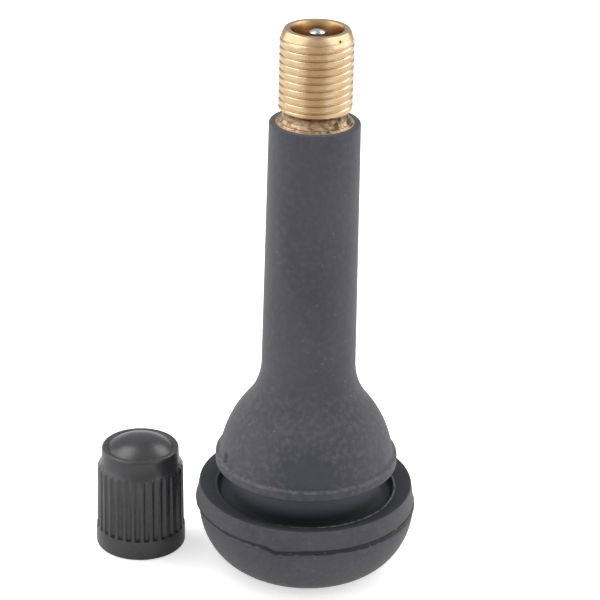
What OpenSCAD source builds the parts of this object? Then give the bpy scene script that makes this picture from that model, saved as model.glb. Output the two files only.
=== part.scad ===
// Snap-in tyre valve: a rubber body moulded on a turned brass stem, with its screw-in core,
// and the plastic cap standing beside it. Millimetres, +Z up, the origin in the flat of the base.

/* [Rubber body] */
// Height of the valve, from the flat of the base to the mouth of the stem
valve_h = 61.5; // [59:0.5:70]
// Diameter of the flat that the base stands on
base_flat_d = 12.8; // [10:0.2:14]
// Height of the rounded underside, from the flat to the flash
dome_h = 6.9; // [6.4:0.1:8]
// Diameter of the rounded underside at the flash
dome_d = 23.9; // [22.8:0.1:24]
// Diameter of the flash left along the moulding line
flash_d = 24.4; // [24.1:0.1:25]
// Thickness of the flash
flash_t = 0.5; // [0.3:0.05:0.8]
// Height of the flange's side above the flash
flange_side_h = 2; // [1.7:0.1:2.6]
// Diameter of the flange's upper edge
flange_d = 23.5; // [22.8:0.1:24]
// Width of the sloping sealing ring on the flange
seal_ring_w = 1.95; // [1.5:0.05:2.1]
// Drop of the sealing ring from its outer to its inner edge
seal_ring_drop = 0.6; // [0.3:0.05:0.7]
// Depth of the dish inside the sealing ring, below the flange's upper edge
dish_depth = 1.2; // [0.9:0.1:1.4]
// Width of the steep wall from the sealing ring into the dish
dish_wall_w = 0.3; // [0.1:0.05:0.5]
// Diameter of the neck that fills the hole in the wheel
groove_d = 16.6; // [16:0.1:17.4]
// Clear height of the groove, from the flange's upper edge to the lip
groove_h = 2.65; // [2.2:0.05:3.6]
// Diameter of the retaining lip
lip_d = 20; // [19.6:0.1:21]
// Height of the retaining lip's edge
lip_h = 1.1; // [0.7:0.05:1.4]
// Diameter of the bulb just above the lip
bulb_d = 19.1; // [18.4:0.1:19.4]
// Radius of the bulb's rounded side
bulb_arc_r = 12; // [11:0.1:14]
// Lean of the bulb's side where it leaves the lip, in degrees
bulb_lean = 7.5; // [5:0.5:10]
// Radius of the hollow curve between the bulb and the sleeve
hollow_r = 7.6; // [6:0.1:9]
// Diameter of the sleeve at its foot
sleeve_foot_d = 10.2; // [9.9:0.1:11]
// Diameter of the sleeve at its upper end
sleeve_top_d = 9.56; // [9.3:0.02:9.8]
// Rounding of the sleeve's upper edge
sleeve_edge_r = 0.2; // [0.1:0.05:0.4]
// Diameter of the air hole in the base
base_hole_d = 5; // [4:0.1:6]

/* [Brass stem] */
// Length of the stem that stands out of the rubber
stem_out = 10; // [9.8:0.1:12]
// Outer diameter of the thread for the cap
cap_thread_d = 7.7; // [7.6:0.02:7.8]
// Length of the thread for the cap, below the mouth's chamfer
cap_thread_l = 8.3; // [7:0.05:8.35]
// Pitch of the thread for the cap, 32 turns to the inch
cap_thread_pitch = 0.794; // [0.75:0.001:0.85]
// Depth of the thread for the cap
cap_thread_depth = 0.43; // [0.25:0.01:0.45]
// Height of the thread's lowest groove above the thread's foot
first_groove = 0.9; // [0.8:0.05:1.2]
// Chamfer around the outside of the mouth
mouth_chamfer = 0.5; // [0.3:0.05:0.6]
// Diameter of the mouth
mouth_d = 5.6; // [5.5:0.02:5.8]
// Diameter of the plain neck below the thread
neck_d = 6.9; // [6.7:0.05:7.2]
// Diameter of the shoulder that flares out of the rubber
shoulder_d = 8.2; // [7.9:0.02:8.4]
// Height of the flare from the shoulder to the neck
flare_h = 0.5; // [0.3:0.05:0.7]
// Length of the shoulder inside the rubber
shoulder_l = 3; // [2:0.1:5]
// Diameter of the shank inside the rubber
shank_d = 6.8; // [6.4:0.1:7.4]
// Diameter of the foot that keys the stem into the rubber
foot_d = 9.6; // [8.6:0.1:11]
// Height of the foot
foot_h = 2.4; // [1.8:0.1:3.5]
// Height of the stem's lower end above the flat of the base
foot_z = 2.6; // [2:0.1:4]
// Diameter of the chamber around the lower half of the core
chamber_d = 3.8; // [3.7:0.02:3.9]
// Diameter of the air passage below the chamber
passage_d = 3; // [2.4:0.1:3.4]

/* [Core plug and barrel] */
// Outer diameter of the core's thread
core_thread_d = 5.1; // [5:0.02:5.2]
// Depth of the plug's top below the mouth
plug_depth = 3.2; // [3.05:0.05:3.6]
// Length of the plug
plug_l = 3.6; // [3.4:0.1:4]
// Width of the bridge that the key turns
bridge_w = 2.4; // [2:0.1:2.6]
// Height of the cuts at the bridge's sides
bridge_h = 1.4; // [1.1:0.1:1.6]
// Thickness of the bridge over the plug's bore
bridge_t = 0.8; // [0.6:0.05:1]
// Diameter of the plug's bore
plug_bore_d = 2.8; // [2.5:0.1:3]
// Thickness of the plug's lip under the barrel's flange
swivel_lip_t = 0.3; // [0.2:0.05:0.4]
// Diameter of the barrel's flange inside the plug
swivel_d = 3.9; // [3.7:0.05:4]
// Thickness of the barrel's flange
swivel_t = 0.6; // [0.5:0.05:0.8]
// Outer diameter of the barrel
barrel_d = 3; // [2.9:0.02:3.1]
// Bore of the barrel
barrel_bore_d = 2.2; // [2.15:0.01:2.3]
// Length of the barrel below the plug
barrel_l = 8.5; // [8.2:0.1:10]
// Thickness of the barrel's floor
barrel_floor_t = 0.8; // [0.6:0.05:1]
// Diameter of the hole in the barrel's floor
floor_hole_d = 1.5; // [1.4:0.02:1.6]
// Gap between the plug and the collar above the gasket
collar_drop = 0.3; // [0.2:0.05:0.5]
// Diameter of the barrel's collar above the gasket
collar_d = 4.1; // [3.9:0.05:4.3]
// Thickness of the two collars that hold the gasket
collar_t = 0.55; // [0.4:0.05:0.8]
// Diameter of the barrel's collar below the gasket
lower_collar_d = 3.5; // [3.3:0.02:3.56]
// Length of the tapered gasket
gasket_l = 2.2; // [1.8:0.1:2.6]
// Diameter of the gasket at its upper end
gasket_top_d = 4.5; // [4.4:0.02:4.7]
// Diameter of the gasket at its lower end
gasket_foot_d = 4; // [3.9:0.02:4.2]

/* [Pin and seal] */
// Depth of the pin's top below the mouth
pin_depth = 0.1; // [0.05:0.05:0.5]
// Diameter of the pin
pin_d = 1; // [0.9:0.02:1.1]
// Diameter of the pin's head
pin_head_d = 1.64; // [1.5:0.02:1.8]
// Height of the pin's head
pin_head_h = 0.8; // [0.6:0.05:0.9]
// Height of the round top of the head
pin_crown = 0.28; // [0.2:0.02:0.4]
// Travel of the pin when it is pressed
pin_travel = 1.8; // [1.5:0.05:1.85]
// Diameter of the pin's collar above the spring
pin_collar_d = 1.9; // [1.8:0.02:2]
// Thickness of the pin's collar
pin_collar_t = 0.4; // [0.3:0.05:0.6]
// Length of the spring in the closed core
spring_l = 6.6; // [6.2:0.1:7.2]
// Diameter of the spring's wire
wire_d = 0.26; // [0.22:0.02:0.3]
// Diameter of the spring at the middle of its wire
spring_d = 1.68; // [1.62:0.02:1.74]
// Turns of the spring
spring_turns = 8; // [6:1:9]
// Diameter of the seal cup
cup_d = 3.2; // [3:0.02:3.3]
// Height of the seal cup
cup_h = 1.7; // [1.5:0.1:2]
// Thickness of the cup's bottom
cup_floor_t = 0.8; // [0.6:0.05:1]
// Thickness of the cup's wall
cup_wall = 0.2; // [0.15:0.05:0.3]
// Height that the cup's gasket stands above the cup
gasket_proud = 0.3; // [0.2:0.05:0.5]
// Diameter of the riveted end under the cup
rivet_d = 1.7; // [1.5:0.05:2]
// Height of the riveted end
rivet_h = 0.5; // [0.4:0.05:0.7]

/* [Cap] */
// Distance of the cap from the valve's axis, sideways
cap_x = -18.5; // [-26:0.5:-18]
// Distance of the cap from the valve's axis, backwards
cap_y = 2.2; // [0:0.1:6]
// Height of the cap's rim
cap_h = 12; // [11.8:0.1:13]
// Height of the dome above the cap's rim
cap_dome_h = 1.1; // [0.8:0.05:1.3]
// Width of the flat around the dome
cap_rim_w = 0.3; // [0.04:0.02:0.4]
// Depth of the step around the dome
cap_step = 0.1; // [0.06:0.02:0.14]
// Diameter of the plain band at the cap's foot
band_d = 10.02; // [9.9:0.02:10.4]
// Height of the plain band
band_h = 2; // [1.8:0.1:2.6]
// Height of the bevel from the band to the flutes
band_bevel = 0.6; // [0.4:0.05:0.9]
// Diameter over the flutes at their foot
flute_foot_d = 9.74; // [9.6:0.02:9.8]
// Diameter over the flutes at their top
flute_top_d = 9.54; // [9.4:0.02:9.6]
// Height of the flutes' upper ends
flute_top_z = 9.6; // [9.2:0.1:9.8]
// Height of the bevel from the flutes to the collar
flute_bevel = 0.7; // [0.6:0.05:1]
// Number of flutes
flute_count = 30; // [24:1:34]
// Radius of the grooves between the flutes
flute_cut_r = 0.32; // [0.26:0.01:0.36]
// Depth of the grooves at their foot
flute_depth = 0.26; // [0.18:0.01:0.3]
// Diameter of the collar above the flutes
cap_collar_foot_d = 8.68; // [8.62:0.02:9]
// Diameter of the collar at the rim
cap_collar_top_d = 8.58; // [8.5:0.02:8.6]
// Rounding of the rim and of the foot
cap_edge_r = 0.3; // [0.2:0.05:0.35]
// Depth of the cap's thread
cap_bore_l = 9.2; // [8.8:0.1:9.4]
// Chamfer at the mouth of the cap
cap_lead_in = 0.4; // [0.2:0.05:0.6]
// Diameter of the seal inside the cap
cap_seal_d = 7; // [6.6:0.1:7.4]
// Thickness of the seal inside the cap
cap_seal_t = 1.2; // [0.8:0.1:1.4]

/* [Clearances] */
// Radial gap between the threads that screw together
thread_gap = 0.05; // [0.03:0.01:0.08]
// Gap around the swivel between the plug and the barrel
swivel_gap = 0.06; // [0.04:0.01:0.08]
// Gap around the pin in the bridge
pin_gap = 0.09; // [0.05:0.01:0.1]
// Gap between a gasket and its seat
seat_gap = 0.03; // [0.02:0.01:0.06]

/* [Hidden] */
$fn = 96;

// Steps along the curves of the outlines
arc_steps = 10;
dome_steps = 16;
spring_steps = 16;
wire_sides = 6;
// Rise of a dead turn of the spring, in wire diameters
dead_turn_rise = 1.1;
// Slope of the thread's flanks, in degrees
thread_flank = 30;
// Length of the mouth's taper for each unit of its depth
mouth_taper = 3;
// Overlap that keeps a cut from ending on a face
over = 1;

// Heights of the rubber body
flash_top = dome_h + flash_t;
flange_top = flash_top + flange_side_h;
lip_foot = flange_top + groove_h;
lip_top = lip_foot + lip_h;
sleeve_top = valve_h - stem_out;
// The flange's side starts half-way between the dome and the flash
flange_foot_r = (dome_d + flash_d) / 4;
// Inner edge of the sealing ring, and the floor of the dish
seal_ring_r = flange_d / 2 - seal_ring_w;
dish_floor = flange_top - dish_depth;
// Centres of the bulb's arc and of the hollow that it runs into
bulb_c = [bulb_d / 2 - bulb_arc_r * cos(bulb_lean), lip_top - bulb_arc_r * sin(bulb_lean)];
hollow_c_r = sleeve_foot_d / 2 + hollow_r;
arcs_rise = sqrt(pow(bulb_arc_r + hollow_r, 2) - pow(hollow_c_r - bulb_c[0], 2));
arcs_angle = atan2(arcs_rise, hollow_c_r - bulb_c[0]);
hollow_c = [hollow_c_r, bulb_c[1] + arcs_rise];

// Heights of the stem
thread_top = valve_h - mouth_chamfer;
thread_foot = thread_top - cap_thread_l;
shoulder_foot = sleeve_top - shoulder_l;
foot_top = foot_z + foot_h;
core_bore_d = core_thread_d + 2 * thread_gap;
// The thread's run-out slopes at 45 degrees from the neck to the crests
run_out = (cap_thread_d - neck_d) / 2;
// Half widths of a groove of the thread, at its root and at the crests
groove_root = cap_thread_pitch / 16;
groove_mouth = groove_root + cap_thread_depth * tan(thread_flank);
groove_count = floor((cap_thread_l - first_groove - 2 * groove_mouth) / cap_thread_pitch) + 1;

// Heights of the core
plug_top = valve_h - plug_depth;
plug_foot = plug_top - plug_l;
swivel_foot = plug_foot + swivel_lip_t + swivel_gap;
swivel_top = swivel_foot + swivel_t;
collar_top = plug_foot - collar_drop;
gasket_top = collar_top - collar_t;
gasket_foot = gasket_top - gasket_l;
barrel_foot = plug_foot - barrel_l;
barrel_floor = barrel_foot + barrel_floor_t;

// Heights of the pin
pin_top = valve_h - pin_depth;
head_foot = pin_top - pin_head_h;
crown_r = (pow(pin_head_d / 2, 2) + pow(pin_crown, 2)) / (2 * pin_crown);
spring_top = barrel_floor + spring_l;
pin_collar_foot = spring_top + seat_gap;
gasket_seat = barrel_foot - seat_gap;
cup_top = gasket_seat - gasket_proud;
cup_foot = cup_top - cup_h;
pin_foot = cup_foot - rivet_h;
// Rise of the dead turns at the spring's ends, which lie almost on each other
dead_pitch = dead_turn_rise * wire_d;
// The chamber leaves room below the pin at the end of its travel
chamber_foot = pin_foot - pin_travel - (chamber_d - passage_d) / 2;

// Radii and heights of the cap
cap_bore_r = cap_thread_d / 2 + thread_gap;
cap_rim_r = cap_collar_top_d / 2;
cap_dome_r = cap_rim_r - cap_edge_r - cap_rim_w - cap_step;
cap_rise = cap_dome_h + cap_step;
cap_crown_r = (pow(cap_dome_r, 2) + pow(cap_rise, 2)) / (2 * cap_rise);
cap_crown_a = asin(cap_dome_r / cap_crown_r);

// Points along an arc about c, from angle a0 to a1
function arc(c, r, a0, a1, n = arc_steps) =
    [for (i = [0:n]) let (a = a0 + (a1 - a0) * i / n) c + r * [cos(a), sin(a)]];

// Points along the rounded underside, a quarter of an ellipse
function dome_arc(r0, r1, h) =
    [for (i = [0:dome_steps]) let (a = 90 * i / dome_steps) [r0 + (r1 - r0) * sin(a), h * (1 - cos(a))]];

// Points of the thread's grooves, as rings at the pitch of the thread
function thread_points() =
    let (crest = cap_thread_d / 2)
    let (root = crest - cap_thread_depth)
    [for (i = [0:groove_count - 1]) let (z = thread_foot + first_groove + i * cap_thread_pitch)
        each [
            [crest, z - groove_mouth], [root, z - groove_root],
            [root, z + groove_root], [crest, z + groove_mouth]
        ]];

// Half section of the rubber body without its cavities
module rubber_section() {
    base = concat(
        [[0, 0]],
        dome_arc(base_flat_d / 2, dome_d / 2, dome_h),
        [[flash_d / 2, dome_h], [flash_d / 2, flash_top], [flange_foot_r, flash_top]],
        [[flange_d / 2, flange_top], [seal_ring_r, flange_top - seal_ring_drop]],
        [[seal_ring_r - dish_wall_w, dish_floor], [groove_d / 2, dish_floor]],
        [[groove_d / 2, lip_foot], [lip_d / 2, lip_foot], [lip_d / 2, lip_top]]
    );
    stalk = concat(
        arc(bulb_c, bulb_arc_r, bulb_lean, arcs_angle),
        arc(hollow_c, hollow_r, 180 + arcs_angle, 180),
        arc([sleeve_top_d / 2 - sleeve_edge_r, sleeve_top - sleeve_edge_r], sleeve_edge_r, 0, 90),
        [[0, sleeve_top]]
    );
    polygon(concat(base, stalk));
}

// Half section of the stem without its bore
module stem_section() {
    plain = [
        [0, foot_z], [foot_d / 2, foot_z], [foot_d / 2, foot_top],
        [shank_d / 2, foot_top + (foot_d - shank_d) / 2],
        [shank_d / 2, shoulder_foot - (shoulder_d - shank_d) / 2],
        [shoulder_d / 2, shoulder_foot], [shoulder_d / 2, sleeve_top],
        [neck_d / 2, sleeve_top + flare_h], [neck_d / 2, thread_foot]
    ];
    mouth = [[cap_thread_d / 2, thread_top], [cap_thread_d / 2 - mouth_chamfer, valve_h], [0, valve_h]];
    polygon(concat(plain, [[cap_thread_d / 2, thread_foot + run_out]], thread_points(), mouth));
}

// Half section of the stem's bore: mouth, thread, tapered seat, chamber and air passage
module bore_section() {
    lead_in = (mouth_d - core_bore_d) / 2;
    seat_top_r = gasket_top_d / 2 + seat_gap;
    step = core_bore_d / 2 - seat_top_r;
    polygon([
        [0, foot_z - over], [passage_d / 2, foot_z - over],
        [passage_d / 2, chamber_foot], [chamber_d / 2, chamber_foot + (chamber_d - passage_d) / 2],
        [chamber_d / 2, gasket_foot], [gasket_foot_d / 2 + seat_gap, gasket_foot],
        [seat_top_r, gasket_top], [core_bore_d / 2, gasket_top + step],
        [core_bore_d / 2, valve_h - mouth_taper * lead_in], [mouth_d / 2, valve_h],
        [mouth_d / 2, valve_h + over], [0, valve_h + over]
    ]);
}

// Half section of the cap's outside, with the flutes not yet cut
module cap_section() {
    polygon(concat(
        [[0, 0]],
        arc([band_d / 2 - cap_edge_r, cap_edge_r], cap_edge_r, -90, 0),
        [[band_d / 2, band_h], [flute_foot_d / 2, band_h + band_bevel]],
        [[flute_top_d / 2, flute_top_z], [cap_collar_foot_d / 2, flute_top_z + flute_bevel]],
        arc([cap_rim_r - cap_edge_r, cap_h - cap_edge_r], cap_edge_r, 0, 90),
        [[cap_dome_r + cap_step, cap_h]],
        arc([0, cap_h + cap_dome_h - cap_crown_r], cap_crown_r, 90 - cap_crown_a, 90)
    ));
}

// The grooves between the cap's flutes
module flute_cuts() {
    cut_r = flute_foot_d / 2 - flute_depth + flute_cut_r;
    for (i = [0:flute_count - 1])
        rotate([0, 0, 360 * (i + 0.5) / flute_count])
            translate([cut_r, 0, band_h + band_bevel / 2])
                cylinder(r = flute_cut_r, h = cap_h - band_h);
}

// Middle of the spring's wire at step i, with one dead turn lying flat at each end
function spring_point(i) =
    let (turn = i / spring_steps)
    let (free = spring_turns - 2)
    let (pitch = (spring_l - wire_d - 2 * dead_pitch) / free)
    let (rise = dead_pitch * (min(turn, 1) + max(turn - spring_turns + 1, 0)))
    let (z = barrel_floor + wire_d / 2 + rise + pitch * min(max(turn - 1, 0), free))
    [spring_d / 2 * cos(360 * turn), spring_d / 2 * sin(360 * turn), z];

// One ring of points around the wire at step i
function wire_ring(i) =
    let (p = spring_point(i))
    let (out = [cos(360 * i / spring_steps), sin(360 * i / spring_steps), 0])
    [for (k = [0:wire_sides - 1]) let (a = 360 * (k + 0.5) / wire_sides)
        p + wire_d / 2 * (cos(a) * out + sin(a) * [0, 0, 1])];

// Rubber moulded around the stem: base, rim groove, bulb and sleeve
module rubber_body() {
    color("#55545a") difference() {
        rotate_extrude() rubber_section();
        rotate_extrude() stem_section();
        translate([0, 0, -over]) cylinder(d = base_hole_d, h = foot_z + 2 * over);
        translate([0, 0, sleeve_top - over]) cylinder(d = shoulder_d, h = 2 * over);
    }
}

// Turned brass stem, from the foot in the rubber to the mouth
module brass_stem() {
    color("#c9a063") difference() {
        rotate_extrude() stem_section();
        rotate_extrude() bore_section();
    }
}

// Threaded plug of the core, with the bridge that the key turns
module core_plug() {
    pocket_d = swivel_d + 2 * swivel_gap;
    pocket_h = swivel_t + 2 * swivel_gap;
    color("#b98f52") difference() {
        translate([0, 0, plug_foot]) cylinder(d = core_thread_d, h = plug_l);
        for (cut_y = [bridge_w / 2, -bridge_w / 2 - core_thread_d])
            translate([-core_thread_d, cut_y, plug_top - bridge_h])
                cube([2 * core_thread_d, core_thread_d, bridge_h + over]);
        translate([0, 0, plug_foot - over]) cylinder(d = barrel_d + 2 * swivel_gap, h = over + plug_l / 2);
        translate([0, 0, plug_foot + swivel_lip_t]) cylinder(d = pocket_d, h = pocket_h);
        translate([0, 0, swivel_top]) cylinder(d = plug_bore_d, h = plug_top - bridge_t - swivel_top);
        translate([0, 0, swivel_top]) cylinder(d = pin_d + 2 * pin_gap, h = plug_l);
    }
}

// Barrel that swivels in the plug, carries the gasket and ends in the lower seat
module core_barrel() {
    color("#b98f52") rotate_extrude() polygon([
        [floor_hole_d / 2, barrel_foot], [barrel_d / 2, barrel_foot],
        [barrel_d / 2, gasket_foot - collar_t], [lower_collar_d / 2, gasket_foot - collar_t],
        [lower_collar_d / 2, gasket_foot], [barrel_d / 2, gasket_foot],
        [barrel_d / 2, gasket_top], [collar_d / 2, gasket_top], [collar_d / 2, collar_top],
        [barrel_d / 2, collar_top], [barrel_d / 2, swivel_foot], [swivel_d / 2, swivel_foot],
        [swivel_d / 2, swivel_top], [barrel_bore_d / 2, swivel_top],
        [barrel_bore_d / 2, barrel_floor], [floor_hole_d / 2, barrel_floor]
    ]);
}

// Tapered gasket that seals the barrel against the stem
module barrel_gasket() {
    color("#2b2b2d") rotate_extrude() polygon([
        [barrel_d / 2, gasket_foot], [gasket_foot_d / 2, gasket_foot],
        [gasket_top_d / 2, gasket_top], [barrel_d / 2, gasket_top]
    ]);
}

// Pin with its upset head, spring collar and riveted end
module core_pin() {
    color("#c4c6c8") rotate_extrude() polygon(concat(
        [[0, pin_foot], [rivet_d / 2, pin_foot], [rivet_d / 2, cup_foot], [pin_d / 2, cup_foot]],
        [[pin_d / 2, pin_collar_foot], [pin_collar_d / 2, pin_collar_foot]],
        [[pin_collar_d / 2, pin_collar_foot + pin_collar_t], [pin_d / 2, pin_collar_foot + pin_collar_t]],
        [[pin_d / 2, head_foot], [pin_head_d / 2, head_foot]],
        arc([0, pin_top - crown_r], crown_r, acos(pin_head_d / 2 / crown_r), 90)
    ));
}

// Spring inside the barrel that holds the pin up
module core_spring() {
    count = spring_turns * spring_steps;
    rings = [for (i = [0:count]) each wire_ring(i)];
    walls = [for (i = [0:count - 1], k = [0:wire_sides - 1])
        let (a = i * wire_sides + k)
        let (b = i * wire_sides + (k + 1) % wire_sides)
        each [[a, a + wire_sides, b], [b, a + wire_sides, b + wire_sides]]];
    ends = [
        [for (k = [0:wire_sides - 1]) k],
        [for (k = [wire_sides - 1:-1:0]) count * wire_sides + k]
    ];
    color("#9a9da0") polyhedron(rings, concat(walls, ends));
}

// Cup on the pin that carries the lower gasket
module seal_cup() {
    color("#b98f52") translate([0, 0, cup_foot]) difference() {
        cylinder(d = cup_d, h = cup_h);
        translate([0, 0, cup_floor_t]) cylinder(d = cup_d - 2 * cup_wall, h = cup_h);
        translate([0, 0, -over]) cylinder(d = pin_d, h = cup_h + 2 * over);
    }
}

// Gasket in the cup that closes against the barrel's lower end
module cup_gasket() {
    gasket_h = gasket_seat - cup_foot - cup_floor_t;
    color("#2b2b2d") translate([0, 0, cup_foot + cup_floor_t]) difference() {
        cylinder(d = cup_d - 2 * cup_wall, h = gasket_h);
        translate([0, 0, -over]) cylinder(d = pin_d, h = gasket_h + 2 * over);
    }
}

// Moulded cap, taken off and standing on its mouth
module valve_cap() {
    color("#3b3b3d") translate([cap_x, cap_y, 0]) difference() {
        rotate_extrude() cap_section();
        flute_cuts();
        translate([0, 0, -over]) cylinder(r = cap_bore_r, h = cap_bore_l + over);
        cylinder(r1 = cap_bore_r + cap_lead_in, r2 = cap_bore_r, h = cap_lead_in);
        translate([0, 0, cap_bore_l - over]) cylinder(d = cap_seal_d, h = cap_seal_t + over);
    }
}

// Rubber disc in the end of the cap
module cap_seal() {
    color("#232325") translate([cap_x, cap_y, cap_bore_l])
        cylinder(d = cap_seal_d, h = cap_seal_t);
}

rubber_body();
brass_stem();
core_plug();
core_barrel();
barrel_gasket();
core_pin();
core_spring();
seal_cup();
cup_gasket();
valve_cap();
cap_seal();
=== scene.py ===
"""Looks of a snap-in tyre valve: rubber body, threaded brass stem, screw-in core and the cap beside it.

Sizes in the classes are millimetres. Meshes are made in metres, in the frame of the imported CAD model.
"""

import logging
import math
from collections.abc import Callable, Iterator
from contextlib import contextmanager
from dataclasses import dataclass, field
from enum import Enum
from functools import cached_property, partial, reduce
from typing import Any

import bmesh
import bpy
from mathutils import Matrix, Vector

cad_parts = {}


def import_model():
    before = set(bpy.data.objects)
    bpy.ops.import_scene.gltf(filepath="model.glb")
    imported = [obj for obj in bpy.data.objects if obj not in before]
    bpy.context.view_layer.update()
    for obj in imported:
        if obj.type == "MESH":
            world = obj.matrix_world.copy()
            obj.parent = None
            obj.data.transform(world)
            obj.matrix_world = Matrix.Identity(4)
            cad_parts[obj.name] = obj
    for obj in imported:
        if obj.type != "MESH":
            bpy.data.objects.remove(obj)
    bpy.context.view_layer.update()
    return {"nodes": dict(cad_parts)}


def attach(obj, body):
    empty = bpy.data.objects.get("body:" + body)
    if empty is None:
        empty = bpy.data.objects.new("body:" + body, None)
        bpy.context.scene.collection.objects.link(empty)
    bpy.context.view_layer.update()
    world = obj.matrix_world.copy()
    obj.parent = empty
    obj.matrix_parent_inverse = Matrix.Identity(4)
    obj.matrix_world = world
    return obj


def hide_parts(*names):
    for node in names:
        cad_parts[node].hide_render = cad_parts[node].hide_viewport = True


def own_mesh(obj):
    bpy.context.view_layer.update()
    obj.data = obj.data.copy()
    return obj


LOG = logging.getLogger("tyre_valve")
MM = 0.001
MERGE = 1e-7

Point = tuple[float, float]
Place = tuple[float, float, float]
Corner = tuple[float, float, float]
Colour = tuple[float, float, float, float]
Piece = bpy.types.Object
Tree = bpy.types.NodeTree
Node = bpy.types.Node
Socket = bpy.types.NodeSocket
Material = bpy.types.Material


class Cut(Enum):
    """How one solid acts on another."""

    JOIN = "UNION"
    REMOVE = "DIFFERENCE"
    KEEP = "INTERSECT"


class Sum(Enum):
    """How a value in a material is worked out from others."""

    TIMES = "MULTIPLY"
    TIMES_PLUS = "MULTIPLY_ADD"
    MINUS = "SUBTRACT"
    LARGEST = "MAXIMUM"
    BELOW = "LESS_THAN"


def linear(code: str) -> Colour:
    """Turn an sRGB hex colour into a linear one.

    Args:
        code: six hex digits after a hash.

    Returns:
        Red, green, blue and an alpha of 1.
    """
    channels = [int(code[i:i + 2], 16) / 255 for i in (1, 3, 5)]
    red, green, blue = (c / 12.92 if c <= 0.04045 else ((c + 0.055) / 1.055) ** 2.4 for c in channels)
    return red, green, blue, 1.0


def fill(tree: Tree, node: Node, inputs: dict[int | str, Any]) -> None:
    """Give a node's inputs their values and links.

    Args:
        tree: node tree that holds the node.
        node: the node.
        inputs: for each input socket, a constant or the output socket that feeds it.
    """
    for key, value in inputs.items():
        if isinstance(value, Socket):
            tree.links.new(value, node.inputs[key])
        else:
            node.inputs[key].default_value = value


def add_node(tree: Tree, kind: str, inputs: dict[int | str, Any] | None = None, **settings: Any) -> Node:
    """Add one shader node with its settings and links.

    Args:
        tree: node tree of a material or of the world.
        kind: type of the node, without its ShaderNode prefix.
        inputs: for each input socket, a constant or the output socket that feeds it.
        settings: properties of the node itself.

    Returns:
        The new node.
    """
    node = tree.nodes.new("ShaderNode" + kind)
    for name, value in settings.items():
        setattr(node, name, value)
    fill(tree, node, inputs or {})
    return node


@dataclass(frozen=True)
class Patterns:
    """Values, masks and mixtures in one node tree."""

    tree: Tree

    def calc(self, how: Sum, *terms: Any) -> Socket:
        """Work out a value.

        Args:
            how: what is done with the terms.
            terms: numbers or sockets, in the order of the node's inputs.

        Returns:
            The result's socket.
        """
        return add_node(self.tree, "Math", dict(enumerate(terms)), operation=how.value).outputs[0]

    def product(self, *factors: Any) -> Socket:
        """Multiply masks and weights.

        Args:
            factors: two or more numbers or sockets.

        Returns:
            The product's socket.
        """
        return reduce(lambda one, other: self.calc(Sum.TIMES, one, other), factors)

    def ramp(
        self, value: Socket, low: float, high: float,
        to_low: Any = 0.0, to_high: Any = 1.0, eased: bool = False,
    ) -> Socket:
        """Map a stretch of a value onto another, and hold it beyond the ends.

        Args:
            value: the value to map.
            low: start of its stretch.
            high: end of its stretch.
            to_low: result at the start, a number or a socket.
            to_high: result at the end, a number or a socket.
            eased: whether the result starts and ends gently.

        Returns:
            The result's socket.
        """
        inputs = {"Value": value, "From Min": low, "From Max": high, "To Min": to_low, "To Max": to_high}
        way = "SMOOTHSTEP" if eased else "LINEAR"
        return add_node(self.tree, "MapRange", inputs, interpolation_type=way).outputs[0]

    def zone(self, length: Socket, low: float, high: float, soft: float) -> Socket:
        """Mask that is 1 while a length lies between two limits.

        Args:
            length: the length, in metres.
            low: lower limit in mm.
            high: upper limit in mm.
            soft: width of the mask's soft edges, outside the limits, in mm.

        Returns:
            The mask's socket.
        """
        rise = self.ramp(length, (low - soft) * MM, low * MM, eased=True)
        fall = self.ramp(length, high * MM, (high + soft) * MM, 1, 0, eased=True)
        return self.product(rise, fall)

    def mix(self, weight: Any, first: Any, second: Any) -> Socket:
        """Mix two colours.

        Args:
            weight: share of the second colour, a number or a socket.
            first: an sRGB hex colour or a socket.
            second: an sRGB hex colour or a socket.

        Returns:
            The mixture's socket.
        """
        first, second = (linear(colour) if isinstance(colour, str) else colour for colour in (first, second))
        return add_node(self.tree, "Mix", {0: weight, 6: first, 7: second}, data_type="RGBA").outputs[2]


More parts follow.
